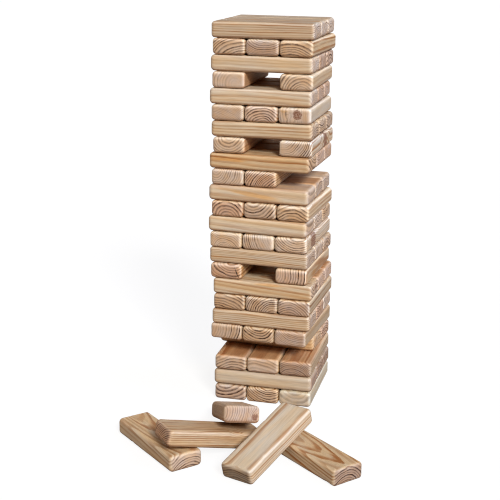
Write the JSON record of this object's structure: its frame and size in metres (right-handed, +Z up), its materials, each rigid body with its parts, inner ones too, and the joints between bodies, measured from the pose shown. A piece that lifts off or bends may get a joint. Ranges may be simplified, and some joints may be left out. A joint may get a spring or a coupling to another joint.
{
  "type": "giant tumbling tower",
  "caption": "Garden stacking game: a tower of rounded pine blocks in crossed rows, part-played, with drawn blocks lying in a heap at its foot.",
  "frame": {"origin": "middle of the underside of the base row's middle block, on the ground", "axes": "+Z up the tower; +X to the right and -Y towards the fallen blocks; the ends of the odd rows face -Y and +Y"},
  "size_m": [0.4171, 0.4946, 0.672],
  "materials": {
    "pine": "satin"
  },
  "bodies": {
    "stack": {"base_row": "pine", "keystone_blocks": "pine"},
    "block_02_front": {"block_02_front": "pine"},
    "block_02_middle": {"block_02_middle": "pine"},
    "block_02_back": {"block_02_back": "pine"},
    "block_03_left": {"block_03_left": "pine"},
    "block_03_middle": {"block_03_middle": "pine"},
    "block_03_right": {"block_03_right": "pine"},
    "block_04_back": {"block_04_back": "pine"},
    "block_05_left": {"block_05_left": "pine"},
    "block_05_middle": {"block_05_middle": "pine"},
    "block_05_right": {"block_05_right": "pine"},
    "block_06_front": {"block_06_front": "pine"},
    "block_06_middle": {"block_06_middle": "pine"},
    "block_06_back": {"block_06_back": "pine"},
    "block_07_left": {"block_07_left": "pine"},
    "block_07_middle": {"block_07_middle": "pine"},
    "block_07_right": {"block_07_right": "pine"},
    "block_08_front": {"block_08_front": "pine"},
    "block_08_middle": {"block_08_middle": "pine"},
    "block_08_back": {"block_08_back": "pine"},
    "block_10_front": {"block_10_front": "pine"},
    "block_10_middle": {"block_10_middle": "pine"},
    "block_10_back": {"block_10_back": "pine"},
    "block_11_left": {"block_11_left": "pine"},
    "block_11_middle": {"block_11_middle": "pine"},
    "block_11_right": {"block_11_right": "pine"},
    "block_12_front": {"block_12_front": "pine"},
    "block_12_middle": {"block_12_middle": "pine"},
    "block_12_back": {"block_12_back": "pine"},
    "block_13_left": {"block_13_left": "pine"},
    "block_13_middle": {"block_13_middle": "pine"},
    "block_13_right": {"block_13_right": "pine"},
    "block_14_front": {"block_14_front": "pine"},
    "block_14_middle": {"block_14_middle": "pine"},
    "block_14_back": {"block_14_back": "pine"},
    "block_15_left": {"block_15_left": "pine"},
    "block_16_front": {"block_16_front": "pine"},
    "block_16_middle": {"block_16_middle": "pine"},
    "block_16_back": {"block_16_back": "pine"},
    "block_18_front": {"block_18_front": "pine"},
    "block_18_middle": {"block_18_middle": "pine"},
    "block_18_back": {"block_18_back": "pine"},
    "block_19_left": {"block_19_left": "pine"},
    "block_19_middle": {"block_19_middle": "pine"},
    "block_19_right": {"block_19_right": "pine"},
    "block_20_front": {"block_20_front": "pine"},
    "block_20_middle": {"block_20_middle": "pine"},
    "block_20_back": {"block_20_back": "pine"},
    "block_22_front": {"block_22_front": "pine"},
    "block_22_middle": {"block_22_middle": "pine"},
    "block_22_back": {"block_22_back": "pine"},
    "block_23_left": {"block_23_left": "pine"},
    "block_23_middle": {"block_23_middle": "pine"},
    "block_23_right": {"block_23_right": "pine"},
    "fallen_block_left": {"fallen_block_left": "pine"},
    "fallen_block_across": {"fallen_block_across": "pine"},
    "fallen_block_propped": {"fallen_block_propped": "pine"},
    "fallen_block_right": {"fallen_block_right": "pine"},
    "fallen_block_leaning": {"fallen_block_leaning": "pine"}
  },
  "joints": [
    {"name": "block_02_front_slide", "type": "slide", "parent": "stack", "child": "block_02_front", "axis": [0.9997, 0.0262, 0], "range_m": [-0.06, 0.178]},
    {"name": "block_02_middle_slide", "type": "slide", "parent": "stack", "child": "block_02_middle", "axis": [0.9997, 0.0262, 0], "range_m": [-0.06, 0.178]},
    {"name": "block_02_back_slide", "type": "slide", "parent": "stack", "child": "block_02_back", "axis": [0.9997, 0.0262, 0], "range_m": [-0.06, 0.178]},
    {"name": "block_03_left_slide", "type": "slide", "parent": "stack", "child": "block_03_left", "axis": [-0.0262, 0.9997, 0], "range_m": [-0.06, 0.178]},
    {"name": "block_03_middle_slide", "type": "slide", "parent": "stack", "child": "block_03_middle", "axis": [-0.0262, 0.9997, 0], "range_m": [-0.06, 0.178]},
    {"name": "block_03_right_slide", "type": "slide", "parent": "stack", "child": "block_03_right", "axis": [-0.0262, 0.9997, 0], "range_m": [-0.06, 0.178]},
    {"name": "block_04_back_slide", "type": "slide", "parent": "stack", "child": "block_04_back", "axis": [0.9994, -0.0349, 0], "range_m": [-0.06, 0.178]},
    {"name": "block_05_left_slide", "type": "slide", "parent": "stack", "child": "block_05_left", "axis": [0.0436, 0.999, 0], "range_m": [-0.06, 0.178]},
    {"name": "block_05_middle_slide", "type": "slide", "parent": "stack", "child": "block_05_middle", "axis": [0.0436, 0.999, 0], "range_m": [-0.06, 0.178]},
    {"name": "block_05_right_slide", "type": "slide", "parent": "stack", "child": "block_05_right", "axis": [0.0436, 0.999, 0], "range_m": [-0.06, 0.178]},
    {"name": "block_06_front_slide", "type": "slide", "parent": "stack", "child": "block_06_front", "axis": [1, -0.0087, 0], "range_m": [-0.06, 0.178]},
    {"name": "block_06_middle_slide", "type": "slide", "parent": "stack", "child": "block_06_middle", "axis": [1, -0.0087, 0], "range_m": [-0.06, 0.178]},
    {"name": "block_06_back_slide", "type": "slide", "parent": "stack", "child": "block_06_back", "axis": [1, -0.0087, 0], "range_m": [-0.06, 0.178]},
    {"name": "block_07_left_slide", "type": "slide", "parent": "stack", "child": "block_07_left", "axis": [0.0175, 0.9998, 0], "range_m": [-0.06, 0.178]},
    {"name": "block_07_middle_slide", "type": "slide", "parent": "stack", "child": "block_07_middle", "axis": [0.0175, 0.9998, 0], "range_m": [-0.06, 0.178]},
    {"name": "block_07_right_slide", "type": "slide", "parent": "stack", "child": "block_07_right", "axis": [0.0175, 0.9998, 0], "range_m": [-0.06, 0.178]},
    {"name": "block_08_front_slide", "type": "slide", "parent": "stack", "child": "block_08_front", "axis": [1, 0, 0], "range_m": [-0.06, 0.178]},
    {"name": "block_08_middle_slide", "type": "slide", "parent": "stack", "child": "block_08_middle", "axis": [1, 0, 0], "range_m": [-0.06, 0.178]},
    {"name": "block_08_back_slide", "type": "slide", "parent": "stack", "child": "block_08_back", "axis": [1, 0, 0], "range_m": [-0.06, 0.178]},
    {"name": "block_10_front_slide", "type": "slide", "parent": "stack", "child": "block_10_front", "axis": [0.9994, -0.0349, 0], "range_m": [-0.06, 0.178]},
    {"name": "block_10_middle_slide", "type": "slide", "parent": "stack", "child": "block_10_middle", "axis": [0.9994, -0.0349, 0], "range_m": [-0.06, 0.178]},
    {"name": "block_10_back_slide", "type": "slide", "parent": "stack", "child": "block_10_back", "axis": [0.9994, -0.0349, 0], "range_m": [-0.06, 0.178]},
    {"name": "block_11_left_slide", "type": "slide", "parent": "stack", "child": "block_11_left", "axis": [0.0262, 0.9997, 0], "range_m": [-0.06, 0.178]},
    {"name": "block_11_middle_slide", "type": "slide", "parent": "stack", "child": "block_11_middle", "axis": [0.0262, 0.9997, 0], "range_m": [-0.06, 0.178]},
    {"name": "block_11_right_slide", "type": "slide", "parent": "stack", "child": "block_11_right", "axis": [0.0262, 0.9997, 0], "range_m": [-0.06, 0.178]},
    {"name": "block_12_front_slide", "type": "slide", "parent": "stack", "child": "block_12_front", "axis": [0.9994, -0.0349, 0], "range_m": [-0.06, 0.178]},
    {"name": "block_12_middle_slide", "type": "slide", "parent": "stack", "child": "block_12_middle", "axis": [0.9994, -0.0349, 0], "range_m": [-0.06, 0.178]},
    {"name": "block_12_back_slide", "type": "slide", "parent": "stack", "child": "block_12_back", "axis": [0.9994, -0.0349, 0], "range_m": [-0.06, 0.178]},
    {"name": "block_13_left_slide", "type": "slide", "parent": "stack", "child": "block_13_left", "axis": [0.0262, 0.9997, 0], "range_m": [-0.06, 0.178]},
    {"name": "block_13_middle_slide", "type": "slide", "parent": "stack", "child": "block_13_middle", "axis": [0.0262, 0.9997, 0], "range_m": [-0.06, 0.178]},
    {"name": "block_13_right_slide", "type": "slide", "parent": "stack", "child": "block_13_right", "axis": [0.0262, 0.9997, 0], "range_m": [-0.06, 0.178]},
    {"name": "block_14_front_slide", "type": "slide", "parent": "stack", "child": "block_14_front", "axis": [1, -0.0087, 0], "range_m": [-0.06, 0.178]},
    {"name": "block_14_middle_slide", "type": "slide", "parent": "stack", "child": "block_14_middle", "axis": [1, -0.0087, 0], "range_m": [-0.06, 0.178]},
    {"name": "block_14_back_slide", "type": "slide", "parent": "stack", "child": "block_14_back", "axis": [1, -0.0087, 0], "range_m": [-0.06, 0.178]},
    {"name": "block_15_left_slide", "type": "slide", "parent": "stack", "child": "block_15_left", "axis": [0.0175, 0.9998, 0], "range_m": [-0.06, 0.178]},
    {"name": "block_16_front_slide", "type": "slide", "parent": "stack", "child": "block_16_front", "axis": [0.9998, -0.0175, 0], "range_m": [-0.06, 0.178]},
    {"name": "block_16_middle_slide", "type": "slide", "parent": "stack", "child": "block_16_middle", "axis": [0.9998, -0.0175, 0], "range_m": [-0.06, 0.178]},
    {"name": "block_16_back_slide", "type": "slide", "parent": "stack", "child": "block_16_back", "axis": [0.9998, -0.0175, 0], "range_m": [-0.06, 0.178]},
    {"name": "block_18_front_slide", "type": "slide", "parent": "stack", "child": "block_18_front", "axis": [1, 0, 0], "range_m": [-0.06, 0.178]},
    {"name": "block_18_middle_slide", "type": "slide", "parent": "stack", "child": "block_18_middle", "axis": [1, 0, 0], "range_m": [-0.06, 0.178]},
    {"name": "block_18_back_slide", "type": "slide", "parent": "stack", "child": "block_18_back", "axis": [1, 0, 0], "range_m": [-0.06, 0.178]},
    {"name": "block_19_left_slide", "type": "slide", "parent": "stack", "child": "block_19_left", "axis": [-0.0087, 1, 0], "range_m": [-0.06, 0.178]},
    {"name": "block_19_middle_slide", "type": "slide", "parent": "stack", "child": "block_19_middle", "axis": [-0.0087, 1, 0], "range_m": [-0.06, 0.178]},
    {"name": "block_19_right_slide", "type": "slide", "parent": "stack", "child": "block_19_right", "axis": [-0.0087, 1, 0], "range_m": [-0.06, 0.178]},
    {"name": "block_20_front_slide", "type": "slide", "parent": "stack", "child": "block_20_front", "axis": [0.9997, 0.0262, 0], "range_m": [-0.06, 0.178]},
    {"name": "block_20_middle_slide", "type": "slide", "parent": "stack", "child": "block_20_middle", "axis": [0.9997, 0.0262, 0], "range_m": [-0.06, 0.178]},
    {"name": "block_20_back_slide", "type": "slide", "parent": "stack", "child": "block_20_back", "axis": [0.9997, 0.0262, 0], "range_m": [-0.06, 0.178]},
    {"name": "block_22_front_slide", "type": "slide", "parent": "stack", "child": "block_22_front", "axis": [1, 0, 0], "range_m": [-0.06, 0.178]},
    {"name": "block_22_middle_slide", "type": "slide", "parent": "stack", "child": "block_22_middle", "axis": [1, 0, 0], "range_m": [-0.06, 0.178]},
    {"name": "block_22_back_slide", "type": "slide", "parent": "stack", "child": "block_22_back", "axis": [1, 0, 0], "range_m": [-0.06, 0.178]},
    {"name": "block_23_left_slide", "type": "slide", "parent": "stack", "child": "block_23_left", "axis": [0.0175, 0.9998, 0], "range_m": [-0.06, 0.178]},
    {"name": "block_23_middle_slide", "type": "slide", "parent": "stack", "child": "block_23_middle", "axis": [0.0175, 0.9998, 0], "range_m": [-0.06, 0.178]},
    {"name": "block_23_right_slide", "type": "slide", "parent": "stack", "child": "block_23_right", "axis": [0.0175, 0.9998, 0], "range_m": [-0.06, 0.178]},
    {"name": "fallen_block_left_take", "type": "slide", "parent": "stack", "child": "fallen_block_left", "axis": [-0.7547, 0.6561, 0], "range_m": [0, 0.06]},
    {"name": "fallen_block_across_take", "type": "slide", "parent": "fallen_block_left", "child": "fallen_block_across", "axis": [-0.6983, -0.6743, 0.2402], "range_m": [0, 0.06]},
    {"name": "fallen_block_propped_take", "type": "slide", "parent": "fallen_block_across", "child": "fallen_block_propped", "axis": [0, 0, 1], "range_m": [0, 0.06]},
    {"name": "fallen_block_right_take", "type": "slide", "parent": "stack", "child": "fallen_block_right", "axis": [0.7771, -0.6293, 0], "range_m": [0, 0.06]},
    {"name": "fallen_block_leaning_take", "type": "slide", "parent": "fallen_block_right", "child": "fallen_block_leaning", "axis": [0.3313, 0.9102, 0.2487], "range_m": [0, 0.06]}
  ]
}
